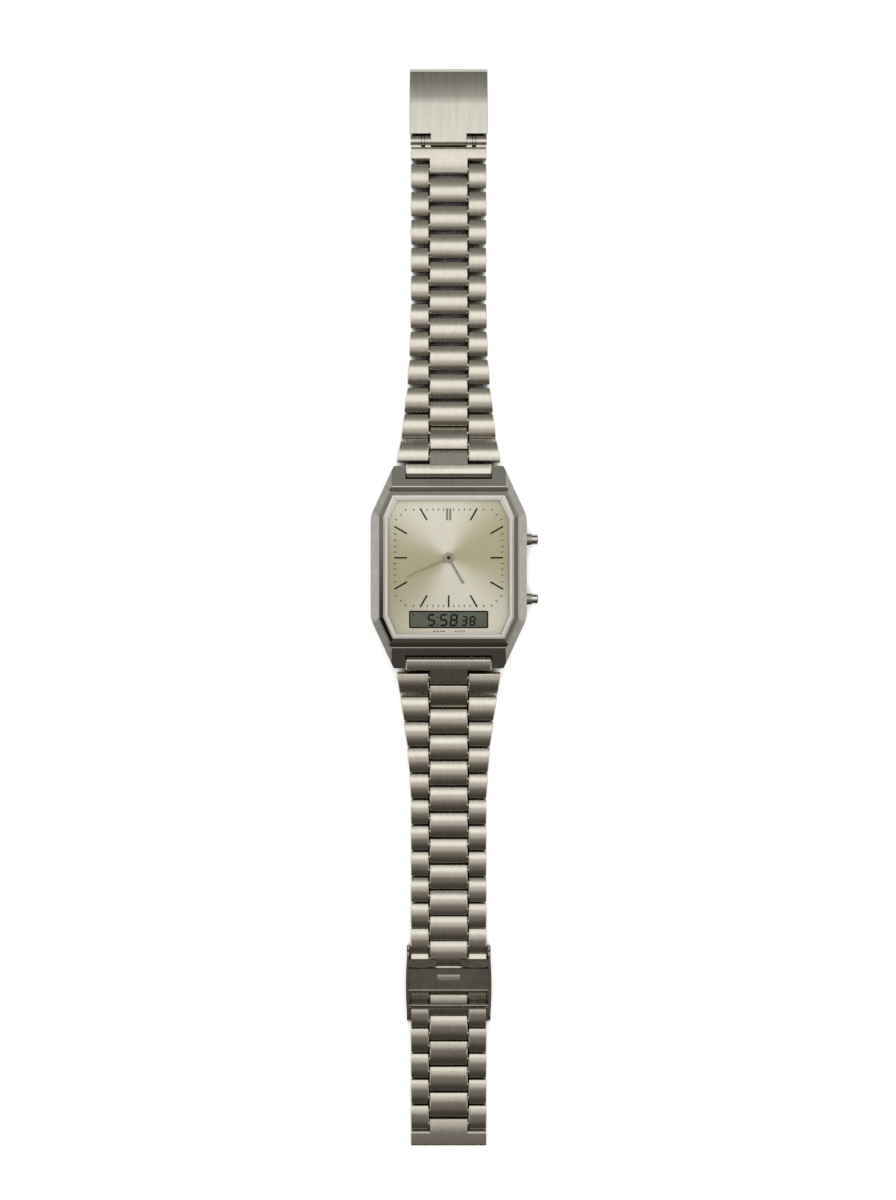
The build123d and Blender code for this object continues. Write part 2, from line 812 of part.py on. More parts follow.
def pusher_spring(y):
    """An open coil between the cap and the floor of its recess."""
    start = case_width / 2 - pusher_recess + spring_wire / 2 + seat_gap
    end = pusher_reach - pusher_cap_length - spring_wire / 2 - seat_gap
    radius = spring_diameter / 2
    path = Helix((end - start) / spring_turns, end - start, radius)
    profile = Plane(origin=path @ 0, z_dir=path % 0) * Circle(spring_wire / 2)
    coil_spring = sweep(profile, path=path)
    return Pos(start, y, pusher_height) * Rot(0, 90, 0) * coil_spring


write("pusher_collars", collar(pusher_upper_y), collar(pusher_lower_y))
write("pusher_upper", pusher(pusher_upper_y))
write("pusher_lower", pusher(pusher_lower_y))
write("pusher_springs", pusher_spring(pusher_upper_y), pusher_spring(pusher_lower_y))


# Bracelet sleeves

link_half = link_height / 2
centre_half = centre_width / 2
side_start = centre_half + row_gap
slot_half = pitch_drawn / 4 + pin_diameter / 2 + running_gap


def sleeve_face():
    """A sleeve seen from its side: crowned above, flat below, round at both ends."""
    face = Rectangle(sleeve_length, link_height)
    face &= Pos(0, link_half - link_crown_radius) * Circle(link_crown_radius)
    face = fillet([v for v in face.vertices() if v.Y < 0], link_under_radius)
    return fillet(top_corners(face), link_top_radius)


def top_corners(face):
    """The two sharp corners where the crown meets the ends."""
    return [v for v in face.vertices() if v.Y > 0 and abs(v.X) > sleeve_length / 2 - seat_gap]


sleeve_outline = sleeve_face()
sleeve_slot = SlotOverall(2 * slot_half, pin_diameter + 2 * running_gap)


def bevelled(body, bevel):
    """Break the edges at both ends of a piece that runs along X."""
    ends = body.faces().sort_by(Axis.X)
    edges = ends[0].outer_wire().edges() + ends[-1].outer_wire().edges()
    return chamfer(edges, bevel)


def sleeve(low, high, middle):
    """A folded sleeve along X, round two pins, with its seam underneath."""
    body = bevelled(across(sleeve_outline, low, high), link_edge_bevel)
    body -= across(sleeve_slot, low - overrun, high + overrun)
    seam = block(low - overrun, high + overrun, -link_seam / 2, link_seam / 2,
                 -link_half - overrun, 0)
    return Pos(0, middle, 0) * (body - seam)


def side_sleeve(middle, near_width, far_width):
    """The right-hand sleeve of a side pair, its outer end slanted where the band tapers."""
    widest = max(near_width, far_width) / 2
    if near_width == far_width:
        return sleeve(side_start, widest, middle)
    body = across(sleeve_outline, side_start, widest + overrun)
    reach = sleeve_length / 2
    plan = face_of([(side_start - overrun, -reach), (near_width / 2, -reach),
                    (far_width / 2, reach), (side_start - overrun, reach)])
    body &= prism(plan, -link_height, link_height)
    body = bevelled(body, link_edge_bevel)
    body -= across(sleeve_slot, side_start - overrun, widest + overrun)
    body -= block(side_start - overrun, widest + overrun, -link_seam / 2, link_seam / 2,
                  -link_half - overrun, 0)
    return Pos(0, middle, 0) * body


def band_pin(y, width):
    """A round pin across the band."""
    half = width / 2 - pin_inset
    return rod_x(pin_diameter, -half, half, y, 0)


def side_pair(pitch, near_width, far_width):
    """Two side sleeves, with the hinge pin at the start and the fixed pin half a pitch on."""
    pieces = mirrored(side_sleeve(pitch / 4, near_width, far_width))
    narrow = min(near_width, far_width)
    return pieces + [band_pin(0, narrow), band_pin(pitch / 2, narrow)]


def link_unit(pitch, near_width, far_width):
    """One unit: a side pair and the centre sleeve staggered half a pitch beyond it."""
    centre = sleeve(-centre_half, centre_half, 3 * pitch / 4)
    return side_pair(pitch, near_width, far_width) + [centre]


def widths_at(widths, n):
    """The widths at the near and the far end of side pair n, counted from the case."""
    near = widths[n] if n < len(widths) else band_width
    far = widths[n + 1] if n + 1 < len(widths) else band_width
    return near, far


# The lie of both halves: a run of hinge places, each with the slope of what follows,
# and the turn about the middle that carries a piece to its side of the case
side_12 = 0
side_6 = 180

hinge_out = end_piece_reach * cos(radians(end_piece_slope))
hinge_down = end_piece_reach * sin(radians(end_piece_slope))
first_hinge = (bar_reach + hinge_out, bar_height - hinge_down)
clamped_rest = slider_sheet + slider_gap + link_half
ramp = degrees(asin((clamped_rest - link_half) / pitch_close))


def resting_height(slope):
    """The height of a hinge above the floor when the sleeve round it is tilted and touches."""
    corner_y = sleeve_length / 2 - pitch_close / 4 - link_under_radius
    corner_z = link_half - link_under_radius
    turn = radians(abs(slope))
    return link_under_radius + corner_y * sin(turn) + corner_z * cos(turn)


def slope_to(place, pitch, height):
    """The slope that brings the next hinge to a height."""
    return degrees(asin((place[1] - height) / pitch))


def slope_to_floor(place, pitch):
    """The slope that brings the next hinge down until its sleeve touches the floor."""
    slope = 0
    for _ in range(20):
        slope = slope_to(place, pitch, resting_height(slope))
    return slope


def next_place(place, pitch, slope):
    """The hinge one pitch on, down the slope."""
    y, z = place
    return (y + pitch * cos(radians(slope)), z - pitch * sin(radians(slope)))


places_12 = [first_hinge]
slopes_12 = []
pitches_12 = []
for n in range(links_12 + 1):
    pitch = pitch_close if n < links_12_close else pitch_drawn
    slope = slope_to_floor(places_12[-1], pitch)
    places_12.append(next_place(places_12[-1], pitch, slope))
    slopes_12.append(slope)
    pitches_12.append(pitch)

places_6 = [first_hinge]
slopes_6 = []
pitches_6 = []
first_raised = links_6 - 1
last_raised = links_6 + links_clamped - 1
for n in range(links_6 + links_clamped + links_6_far + 1):
    pitch = pitch_clamped if links_6 <= n <= last_raised else pitch_close
    here = places_6[-1]
    if n in (first_raised - 1, last_raised + 1):
        slope = slope_to(here, pitch, resting_height(ramp))
    elif first_raised <= n <= last_raised:
        slope = slope_to(here, pitch, clamped_rest)
    else:
        slope = slope_to_floor(here, pitch)
    places_6.append(next_place(here, pitch, slope))
    slopes_6.append(slope)
    pitches_6.append(pitch)


def laid(shapes, place, slope, side):
    """Lay a unit along the band, on the 12 o'clock side or turned to the 6 o'clock side."""
    where = Rot(0, 0, side) * Pos(0, *place) * Rot(-slope, 0, 0)
    return [where * shape for shape in shapes]


def end_piece():
    """The piece that turns on a spring bar: a bar between the lugs, with a sloping tongue."""
    bar_run = end_piece_front + end_piece_back
    bar = Pos(end_piece_front - bar_run / 2, 0) * Rectangle(bar_run, link_height)
    bar += Pos(-end_piece_back, 0) * Circle(end_piece_back_radius)
    bar &= Pos(-end_piece_crown_back, link_half - end_piece_crown_radius) * Circle(
        end_piece_crown_radius)
    heel = [v for v in bar.vertices() if v.Y > link_half / 2 and v.X < 0]
    bar = fillet(heel, end_piece_heel_round)
    front = [v for v in bar.vertices() if v.X > end_piece_front - seat_gap]
    bar = fillet(front, end_piece_round)
    half = end_piece_width / 2
    body = bevelled(across(bar, -half, half), link_edge_bevel)
    tongue_end = end_piece_reach - pitch_close / 4 + sleeve_length / 2
    tongue = Pos(tongue_end / 2, 0) * Rectangle(tongue_end, link_height - 2 * end_piece_step)
    nose = [v for v in tongue.vertices() if v.X > tongue_end - seat_gap]
    tongue = Rot(0, 0, -end_piece_slope) * fillet(nose, link_under_radius)
    body += across(tongue, -centre_half, centre_half)
    bar_hole = bar_diameter + 2 * running_gap
    body -= rod_x(bar_hole, -case_width, case_width, 0, 0)
    pin_hole = pin_diameter + 2 * running_gap
    body -= rod_x(pin_hole, -case_width, case_width, hinge_out, -hinge_down)
    return body


bar_place = (bar_reach, bar_height)
write("end_piece_12", *laid([end_piece()], bar_place, 0, side_12))
write("end_piece_6", *laid([end_piece()], bar_place, 0, side_6))

for n in range(links_12):
    unit = link_unit(pitches_12[n], *widths_at(taper_widths_12, n))
    write(f"link_12_{n + 1:02d}", *laid(unit, places_12[n], slopes_12[n], side_12))

for n in range(links_6):
    unit = link_unit(pitches_6[n], *widths_at(taper_widths_6, n))
    write(f"link_6_{n + 1:02d}", *laid(unit, places_6[n], slopes_6[n], side_6))

clamped_links = []
for n in range(links_6, links_6 + links_clamped):
    unit = link_unit(pitches_6[n], band_width, band_width)
    clamped_links += laid(unit, places_6[n], slopes_6[n], side_6)
write("clamped_links", *clamped_links)

for n in range(links_6 + links_clamped, links_6 + links_clamped + links_6_far):
    unit = link_unit(pitches_6[n], band_width, band_width)
    write(f"link_6_{n + 1:02d}", *laid(unit, places_6[n], slopes_6[n], side_6))


# End link of the clasp, with the pin that carries the cover

pair_end = pitch_drawn / 4 + sleeve_length / 2
clasp_bar_start = pair_end + clasp_bar_gap
clasp_bar_end = clasp_bar_start + clasp_bar_length
clasp_pin_y = clasp_bar_end + clasp_pin_reach


def t_bar(pitch, start, end):
    """A full-width bar with a tongue that reaches back round the fixed pin."""
    middle = (start + end) / 2
    crown = Pos(middle, link_half - t_bar_crown_radius) * Circle(t_bar_crown_radius)
    outline = Pos(middle, 0) * Rectangle(end - start, link_height) & crown
    outline = fillet(outline.vertices(), t_bar_round)
    half = band_width / 2
    body = bevelled(across(outline, -half, half), link_edge_bevel)
    tongue_start = 3 * pitch / 4 - sleeve_length / 2
    tongue_end = start + link_half
    tongue = Pos((tongue_start + tongue_end) / 2, 0) * Rectangle(
        tongue_end - tongue_start, link_height) & crown
    nose = [v for v in tongue.vertices() if v.X < tongue_start + seat_gap]
    tongue = fillet(nose, t_bar_round)
    body += across(tongue, -centre_half, centre_half)
    hole = pin_diameter + 2 * running_gap
    return body - rod_x(hole, -case_width, case_width, pitch / 2, 0)


def clasp_end_link():
    body = t_bar(pitch_drawn, clasp_bar_start, clasp_bar_end)
    knuckle = Pos(clasp_pin_y, 0) * Circle(knuckle_radius)
    web = Pos((clasp_bar_end + clasp_pin_y) / 2, 0) * Rectangle(
        clasp_pin_y - clasp_bar_end + 2 * seat_gap, knuckle_radius)
    ear = knuckle + web
    spans = ((cover_tongue_width / 2 + running_gap, knuckle_inner_end),
             (knuckle_outer_start, band_width / 2))
    for low, high in spans:
        for piece in mirrored(across(ear, low, high)):
            body += piece
    pin_hole = clasp_pin_diameter + 2 * running_gap
    body -= rod_x(pin_hole, -case_width, case_width, clasp_pin_y, 0)
    pin_half = band_width / 2 - pin_inset
    pin = rod_x(clasp_pin_diameter, -pin_half, pin_half, clasp_pin_y, 0)
    ring_middle = (knuckle_inner_end + knuckle_outer_start) / 2
    ring = rod_x(2 * knuckle_radius, ring_middle - ring_width / 2,
                 ring_middle + ring_width / 2, clasp_pin_y, 0)
    ring -= rod_x(pin_hole, 0, case_width, clasp_pin_y, 0)
    pair = side_pair(pitch_drawn, band_width, band_width)
    return pair + [body, pin] + mirrored(ring)


last_12 = links_12
write("clasp_end_link", *laid(clasp_end_link(), places_12[last_12], slopes_12[last_12], side_12))


# Clasp cover, drawn from its hinge pin outward

def arc_face(near, turn_y, far, skirt):
    """The space under a flat top that bends down in an arc, down to a level."""
    turn = (turn_y, near[1])
    arc = TangentArc([turn, far], tangent=(1, 0))
    rest = Polyline([far, (far[0], skirt), (near[0], skirt), near, turn])
    return make_face(arc + rest)


def clasp_cover():
    end = cover_start + cover_length
    turn_y = cover_start + cover_length * cover_flat_share
    under = knuckle_radius - cover_sheet
    outer = arc_face((cover_start, knuckle_radius), turn_y, (end, cover_far_height), cover_skirt)
    inner = arc_face((cover_start + cover_sheet, under), turn_y,
                     (end - cover_sheet, cover_far_height - cover_sheet / 2),
                     cover_skirt - overrun)
    half = cover_width / 2
    body = across(outer, -half, half)
    ends = body.faces().sort_by(Axis.X)
    rim = [edge for face in (ends[0], ends[-1]) for edge in face.outer_wire().edges()
           if edge.center().Y > cover_start + seat_gap and edge.center().Z > 0]
    body = fillet(rim, cover_edge_round)
    body -= across(inner, -half + cover_sheet, half - cover_sheet)
    lip = block(-half, half, end - cover_sheet, end + cover_lip, cover_skirt,
                cover_skirt + cover_lip_thickness)
    body += lip
    tongue_half = cover_tongue_width / 2
    tongue = Circle(knuckle_radius) + Pos((cover_start + cover_sheet) / 2,
                                          knuckle_radius - cover_sheet / 2) * Rectangle(
        cover_start + cover_sheet, cover_sheet)
    body += across(tongue, -tongue_half, tongue_half)
    body -= rod_x(clasp_pin_diameter + 2 * running_gap, -case_width, case_width, 0, 0)
    hook_start = cover_start + hook_place
    hook = [(hook_start, under), (hook_start, -hook_drop), (hook_start + hook_foot, -hook_drop),
            (hook_start + hook_foot, -hook_drop + cover_sheet),
            (hook_start + cover_sheet, -hook_drop + cover_sheet),
            (hook_start + cover_sheet, under)]
    hook_half = hook_width / 2
    return body + across(face_of(hook), -hook_half, hook_half)


cover_place = (places_12[last_12][0] + clasp_pin_y, link_half)
write("clasp_cover", *laid([clasp_cover()], cover_place, 0, side_12))


# Sliding frame of the clasp, drawn along the band from its own start

def slider_frame():
    inner = slider_inner_width / 2
    outer = slider_middle_width / 2
    base = block(-inner - slider_sheet, inner + slider_sheet, 0, slider_length, 0, slider_sheet)
    plan = make_face(ThreePointArc((inner + slider_sheet / 2, 0), (outer, slider_length / 2),
                                   (inner + slider_sheet / 2, slider_length))
                     + Polyline([(inner + slider_sheet / 2, slider_length),
                                 (inner, slider_length), (inner, 0),
                                 (inner + slider_sheet / 2, 0)]))
    ear = prism(plan, 0, slider_height)
    side = Pos(slider_length / 2, slider_height / 2) * Rectangle(slider_length, slider_height)
    side = fillet([v for v in side.vertices() if v.Y > slider_sheet], ear_round)
    ear &= across(side, 0, slider_middle_width)
    tab_floor = clamped_rest + link_half + slider_gap
    tab = face_of([(inner + seat_gap, tab_start), (inner + seat_gap, tab_start + tab_length),
                   (tab_inner + tab_slant, tab_start + tab_length), (tab_inner, tab_start)])
    tab = prism(tab, tab_floor, tab_floor + slider_sheet)
    front = tab.edges().sort_by(Axis.Y)[:4].sort_by(Axis.Z)[-1]
    tab = chamfer(front, slider_sheet / 2)
    body = base
    for piece in mirrored(ear) + mirrored(tab):
        body += piece
    bar_hole = cross_bar_diameter
    body -= rod_x(bar_hole, -case_width, case_width, cross_bar_place, cross_bar_height)
    pin_hole = lock_pin_diameter + 2 * running_gap
    body -= rod_x(pin_hole, -case_width, case_width, lock_pin_place, lock_pin_height)
    bar_half = inner + slider_sheet
    bar = rod_x(cross_bar_diameter, -bar_half, bar_half, cross_bar_place, cross_bar_height)
    return [body, bar]


def lock_plate():
    half = slider_inner_width / 2 - running_gap
    start = lock_pin_place - lock_plate_length
    top = lock_plate_floor + slider_sheet
    plan = face_of([(-half, start), (half, start), (half, lock_pin_place),
                    (-half, lock_pin_place)])
    body = prism(plan, lock_plate_floor, top)
    front = body.edges().filter_by(Axis.X).sort_by(Axis.Y)[:2].sort_by(Axis.Z)[-1]
    body = chamfer(front, slider_sheet / 2)
    knuckle = rod_x(2 * lock_knuckle_radius, -half, half, lock_pin_place, lock_pin_height)
    notch = lock_notch_width / 2
    body = body + knuckle
    body -= block(-notch, notch, start - overrun, start + lock_notch_length,
                  lock_plate_floor + lock_step_sheet, top + overrun)
    body -= block(-notch, notch, start + lock_step_length, start + lock_notch_length,
                  lock_plate_floor - overrun, top + overrun)
    pin_half = half + slider_sheet
    return body + rod_x(lock_pin_diameter, -pin_half, pin_half, lock_pin_place, lock_pin_height)


slider_place = (places_6[links_6][0] + slider_offset, 0)
write("slider_frame", *laid(slider_frame(), slider_place, 0, side_6))
write("slider_lock_plate", *laid([lock_plate()], slider_place, 0, side_6))


# Tail link

tail = len(pitches_6) - 1
tail_bar_start = pitches_6[tail] / 4 + sleeve_length / 2 + tail_bar_gap
tail_pieces = side_pair(pitches_6[tail], band_width, band_width)
tail_pieces.append(t_bar(pitches_6[tail], tail_bar_start, tail_bar_start + tail_bar_length))
write("tail_link", *laid(tail_pieces, places_6[tail], slopes_6[tail], side_6))


# The hinge places, for the joints
for name, places, slopes in (("12", places_12, slopes_12), ("6", places_6, slopes_6)):
    for n, (y, z) in enumerate(places):
        slope = slopes[n] if n < len(slopes) else 0
        print(f"hinge {name} {n + 1} y {y:.3f} z {z:.3f} slope {slope:.2f}")
print(f"cover hinge y {cover_place[0]:.3f} z {cover_place[1]:.3f}")
print(f"wheels {minute_wheel_axis} {intermediate_axis} {rotor_axis}")
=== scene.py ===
from math import cos, pi, radians, sin

import bpy
from mathutils import Matrix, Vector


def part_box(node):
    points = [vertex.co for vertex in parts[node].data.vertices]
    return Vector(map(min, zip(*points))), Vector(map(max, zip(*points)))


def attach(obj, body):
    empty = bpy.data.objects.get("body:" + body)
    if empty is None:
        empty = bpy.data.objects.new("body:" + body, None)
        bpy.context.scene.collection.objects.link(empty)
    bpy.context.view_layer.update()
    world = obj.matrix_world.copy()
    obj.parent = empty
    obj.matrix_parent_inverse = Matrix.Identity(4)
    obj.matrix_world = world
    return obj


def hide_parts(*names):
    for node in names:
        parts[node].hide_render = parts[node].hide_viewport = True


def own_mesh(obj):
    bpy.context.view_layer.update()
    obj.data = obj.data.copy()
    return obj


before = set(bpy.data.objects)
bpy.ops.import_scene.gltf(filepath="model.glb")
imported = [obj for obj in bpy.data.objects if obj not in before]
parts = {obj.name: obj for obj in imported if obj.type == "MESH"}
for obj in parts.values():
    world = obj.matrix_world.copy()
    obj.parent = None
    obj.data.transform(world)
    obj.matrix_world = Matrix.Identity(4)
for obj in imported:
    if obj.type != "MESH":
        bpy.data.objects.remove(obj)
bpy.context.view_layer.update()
scene = bpy.context.scene

MM = 0.001
HANDS_Y = (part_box("hour_wheel")[0][1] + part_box("hour_wheel")[1][1]) / 2
DIAL_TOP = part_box("dial")[1][2]
LCD_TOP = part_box("lcd_panel")[1][2]
LCD_MIDDLE_Y = (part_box("lcd_panel")[0][1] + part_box("lcd_panel")[1][1]) / 2
# Turn of the dial's painted fans of highlight and shade
PAINTED_FAN_LEAN = radians(12)
CRYSTAL_FOOT, CRYSTAL_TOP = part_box("crystal")[0][2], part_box("crystal")[1][2]
FACE_SKIN = 0.01 * MM


# Materials

def colour(code):
    """The linear colour of an sRGB hex value."""
    channels = [int(code[i:i + 2], 16) / 255 for i in (0, 2, 4)]
    return tuple(c / 12.92 if c <= 0.04045 else ((c + 0.055) / 1.055) ** 2.4 for c in channels) + (1.0,)


def add_node(tree, kind, inputs, stops=(), **settings):
    """Add a node: its settings, its sockets' values or links, and the stops of a ramp."""
    made = tree.nodes.new(kind)
    for name, value in settings.items():
        setattr(made, name, value)
    for name, value in inputs.items():
        if isinstance(value, bpy.types.NodeSocket):
            tree.links.new(value, made.inputs[name])
        else:
            made.inputs[name].default_value = value
    for n, (place, value) in enumerate(stops):
        ramp = made.color_ramp
        element = ramp.elements[n] if n < len(ramp.elements) else ramp.elements.new(place)
        element.position = place
        element.color = value
    return made


def maths(tree, operation, *values):
    """The result of one sum on sockets or numbers."""
    return add_node(tree, "ShaderNodeMath", dict(enumerate(values)), operation=operation).outputs[0]


def start_material(name):
    """A material with an empty Principled shader and a texture coordinate to draw its patterns on."""
    made = bpy.data.materials.new(name)
    made.use_nodes = True
    tree = made.node_tree
    tree.nodes.clear()
    shader = add_node(tree, "ShaderNodeBsdfPrincipled", {})
    add_node(tree, "ShaderNodeOutputMaterial", {"Surface": shader.outputs[0]})
    place = add_node(tree, "ShaderNodeTexCoord", {}).outputs["Object"]
    return made, tree, shader, place


def grain(tree, place, size, detail=2.0, roughness=0.5):
    """Noise whose grain measures size millimetres along X, Y and Z."""
    scaled = add_node(tree, "ShaderNodeMapping", {"Vector": place, "Scale": [1 / (s * MM) for s in size]})
    return add_node(tree, "ShaderNodeTexNoise", {
        "Vector": scaled.outputs[0], "Scale": 1.0, "Detail": detail, "Roughness": roughness}).outputs["Fac"]


def spread(tree, value, low, high, start=0.3, end=0.7):
    """Carry a noise value, which keeps to its middle, to a range of a shader's own numbers."""
    return add_node(tree, "ShaderNodeMapRange", {
        "Value": value, "From Min": start, "From Max": end, "To Min": low, "To Max": high}).outputs[0]


def blended(tree, amount, first, second):
    """A colour between two colours."""
    made = add_node(tree, "ShaderNodeMix", {}, data_type="RGBA")
    for index, value in ((0, amount), (6, first), (7, second)):
        if isinstance(value, bpy.types.NodeSocket):
            tree.links.new(value, made.inputs[index])
        else:
            made.inputs[index].default_value = value
    return made.outputs[2]


def steel(name, dark, light, line, roughness, relief, coarse=None):
    """Steel with fine lines in it: the lines' size in millimetres gives their direction."""
    made, tree, shader, place = start_material(name)
    lines = grain(tree, place, line, 3.0)
    cloud = grain(tree, place, coarse or [s * 5 for s in line], 2.0)
    both = maths(tree, "ADD", lines, cloud)
    tint = blended(tree, spread(tree, both, 0, 1, 0.75, 1.25), colour(dark), colour(light))
    tree.links.new(tint, shader.inputs["Base Color"])
    tree.links.new(spread(tree, lines, *roughness), shader.inputs["Roughness"])
    shader.inputs["Metallic"].default_value = 1.0
    bump = add_node(tree, "ShaderNodeBump", {"Height": lines, "Strength": relief, "Distance": 0.02 * MM})
    tree.links.new(bump.outputs[0], shader.inputs["Normal"])
    return made


# Brushed 304 stainless: folded sheet drawn over a belt, so fine lines run along the band and
# the light is spread a little, wider across the lines than along them
BRUSHED_LINK = steel("stainless_304_brushed", "D0CBC1", "D9D5CC", (0.35, 1.6, 1.6), (0.26, 0.29), 0.015,
                     (0.9, 1.2, 1.2))
# Clasp cover: the same sheet with a longer, finer brushing
BRUSHED_COVER = steel("stainless_304_long_brushed", "CBC8C0", "D8D5CD", (0.14, 9.0, 9.0), (0.27, 0.31),
                      0.03, (0.9, 12.0, 12.0))
# Slider and lock plate: the sheet tumbled bright, with a few rubbed marks; its colour is painted darker
# than the links' steel, as painted shade
TUMBLED_CLASP_PAINTED_DARK = steel("stainless_304_tumbled", "938F86", "A8A49B", (0.5, 0.35, 0.5), (0.16, 0.22), 0.06)
# Case: bright polished steel, with the faint haze of wear
POLISHED_CASE = steel("stainless_316_polished", "C8C7C1", "D0CFC9", (1.6, 1.2, 1.6), (0.13, 0.17), 0.03)
# Bezel: the same steel, polished to a mirror
POLISHED_BEZEL = steel("stainless_316_mirror", "CAC8C2", "D0CEC8", (1.8, 1.8, 1.8), (0.07, 0.1), 0.02)
# Pins, spring bars, screws and springs: drawn wire, bright along its length
DRAWN_PIN = steel("stainless_wire_drawn", "8E8B84", "B4B1AA", (2.0, 0.1, 0.1), (0.25, 0.4), 0.2)
# Case back: plate with straight brushing across it
BRUSHED_BACK = steel("stainless_304_back_plate", "B7B4AC", "CFCDC6", (6.0, 0.12, 6.0), (0.26, 0.4), 0.3)
# Hands: stamped steel, plated bright
PLATED_HAND = steel("nickel_plated_hand", "A8A59A", "B4B1A6", (1.0, 1.0, 1.0), (0.24, 0.3), 0.03)
# Cannon pinion: turned from hardened steel, left dark, whose tip shows in the hub of the hands
HARDENED_PINION = steel("hardened_steel_pinion", "2C2A26", "4A473F", (0.2, 0.2, 0.2), (0.3, 0.4), 0.1)
# Button cell can and motor iron: nickel-plated steel, rolled
NICKEL_CAN = steel("nickel_plated_can", "B9B8B2", "D2D1CC", (0.4, 3.0, 0.4), (0.22, 0.34), 0.1)
# Wheels: brass, cut and gilt
CUT_BRASS = steel("brass_cut_wheels", "B8924A", "D8B76E", (0.2, 0.2, 0.2), (0.2, 0.34), 0.1)
# Winding: enamelled copper wire, whose turns run round the core
COPPER_WIRE = steel("enamelled_copper_winding", "8F4A22", "C4743C", (0.12, 6.0, 6.0), (0.28, 0.42), 0.8)
# Rotor: sintered magnet, dark and matt
SINTERED_MAGNET = steel("sintered_magnet", "4A4A4C", "626266", (0.1, 0.1, 0.1), (0.45, 0.6), 0.3)


def moulded(name, dark, light, size, roughness, relief, ior=1.5, gloss=0.5):
    """A plastic, rubber or lacquer with a mottled surface."""
    made, tree, shader, place = start_material(name)
    spots = grain(tree, place, size, 4.0)
    tint = blended(tree, spread(tree, spots, 0, 1), colour(dark), colour(light))
    tree.links.new(tint, shader.inputs["Base Color"])
    tree.links.new(spread(tree, spots, *roughness), shader.inputs["Roughness"])
    shader.inputs["IOR"].default_value = ior
    shader.inputs["Specular IOR Level"].default_value = gloss
    bump = add_node(tree, "ShaderNodeBump", {"Height": spots, "Strength": relief, "Distance": 0.01 * MM})
    tree.links.new(bump.outputs[0], shader.inputs["Normal"])
    return made


# Seals: moulded nitrile rubber, matt black
NITRILE = moulded("nitrile_rubber", "0B0B0B", "1A1A19", (0.2, 0.2, 0.2), (0.55, 0.75), 0.4, 1.52)
# Seal round the crystal: moulded white nylon, whose edge shows through the rim of the glass, where a pale
# highlight is painted
NYLON = moulded("moulded_white_nylon", "E4E3DC", "F2F1EA", (0.3, 0.3, 0.3), (0.35, 0.5), 0.1, 1.53)
# Movement plate: glass-filled resin, off-white
FILLED_RESIN = moulded("glass_filled_resin", "D8D6CC", "E6E4DC", (0.3, 0.3, 0.3), (0.45, 0.6), 0.3)
# Circuit board: epoxy laminate under green solder mask
SOLDER_MASK = moulded("epoxy_laminate_green", "1E5A36", "2C6E46", (0.25, 0.25, 0.25), (0.3, 0.45), 0.3)
# Print on the dial: matt pad-printed ink, slightly thinner at its edges
GREY_INK = moulded("pad_printed_grey_ink", "35322A", "4A463C", (0.08, 0.08, 0.08), (0.45, 0.6), 0.2)
RED_INK = moulded("pad_printed_red_ink", "8E3A34", "B0655C", (0.08, 0.08, 0.08), (0.45, 0.6), 0.2)
# Frame round the display: black print under the glass, widened to stand for the shade of the dial's window
# edge, which is painted shade
BLACK_PRINT_AND_PAINTED_SHADE = moulded("screen_printed_black_and_painted_shade", "0C0D0A", "181914", (0.12, 0.12, 0.12), (0.35, 0.5), 0.2,
                      gloss=0.15)
# Segments: the dark state of the liquid crystal, almost black
DARK_SEGMENT = moulded("liquid_crystal_dark", "080907", "10120E", (0.15, 0.15, 0.15), (0.25, 0.35), 0.05,
                       gloss=0.15)


def dial_finish():
    """Sunburst dial: brass brushed from the centre out, silvered, under a champagne lacquer.

    The brush lines run out from the hands' axis and spread the light a little round that axis; the two
    bright fans above and below it and the darker sides towards 3 and 9 o'clock are painted into the colour:
    painted highlight and painted shade.
    """
    made, tree, shader, place = start_material("champagne_sunburst_dial")
    centred = add_node(tree, "ShaderNodeVectorMath", {0: place, 1: (0, HANDS_Y, 0)},
                       operation="SUBTRACT").outputs[0]
    axes = add_node(tree, "ShaderNodeSeparateXYZ", {0: centred})
    minus_y = maths(tree, "MULTIPLY", axes.outputs["Y"], -1.0)
    round_axis = add_node(tree, "ShaderNodeCombineXYZ", {"X": minus_y, "Y": axes.outputs["X"]}).outputs[0]
    along = add_node(tree, "ShaderNodeVectorMath", {0: round_axis}, operation="NORMALIZE").outputs[0]
    turn = maths(tree, "ARCTAN2", axes.outputs["Y"], axes.outputs["X"])
    # The lines of the brush, drawn as noise on the angle round the axis, about half a degree each
    rays = add_node(tree, "ShaderNodeTexNoise", {"W": turn, "Scale": 60.0, "Detail": 4.0, "Roughness": 0.7},
                    noise_dimensions="1D").outputs["Fac"]
    # Painted highlight and shade: two opposite bright fans, darker towards 3 and 9 o'clock, where the
    # cosine of twice the angle is one
    doubled = maths(tree, "MULTIPLY", turn, 2.0)
    leaning = maths(tree, "SUBTRACT", doubled, 2 * PAINTED_FAN_LEAN)
    swing = maths(tree, "COSINE", leaning)
    painted_fan_shade = add_node(tree, "ShaderNodeMapRange", {
        "Value": swing, "From Min": -0.95, "From Max": 1.0, "To Min": 0.0, "To Max": 1.0},
        interpolation_type="SMOOTHSTEP").outputs[0]
    streaks = spread(tree, rays, -0.05, 0.05)
    streaks_and_painted_fans = add_node(tree, "ShaderNodeMath", {0: streaks, 1: painted_fan_shade}, operation="ADD",
                        use_clamp=True).outputs[0]
    # Painted highlight and painted shade: pale in the fans, darker at the sides, with the brush lines' tone
    # on both
    tree.links.new(blended(tree, streaks_and_painted_fans, colour("F9F5E6"), colour("C8C2A1")), shader.inputs["Base Color"])
    tree.links.new(spread(tree, rays, 0.36, 0.46), shader.inputs["Roughness"])
    shader.inputs["Metallic"].default_value = 0.55
    shader.inputs["Anisotropic"].default_value = 0.25
    tree.links.new(along, shader.inputs["Tangent"])
    return made


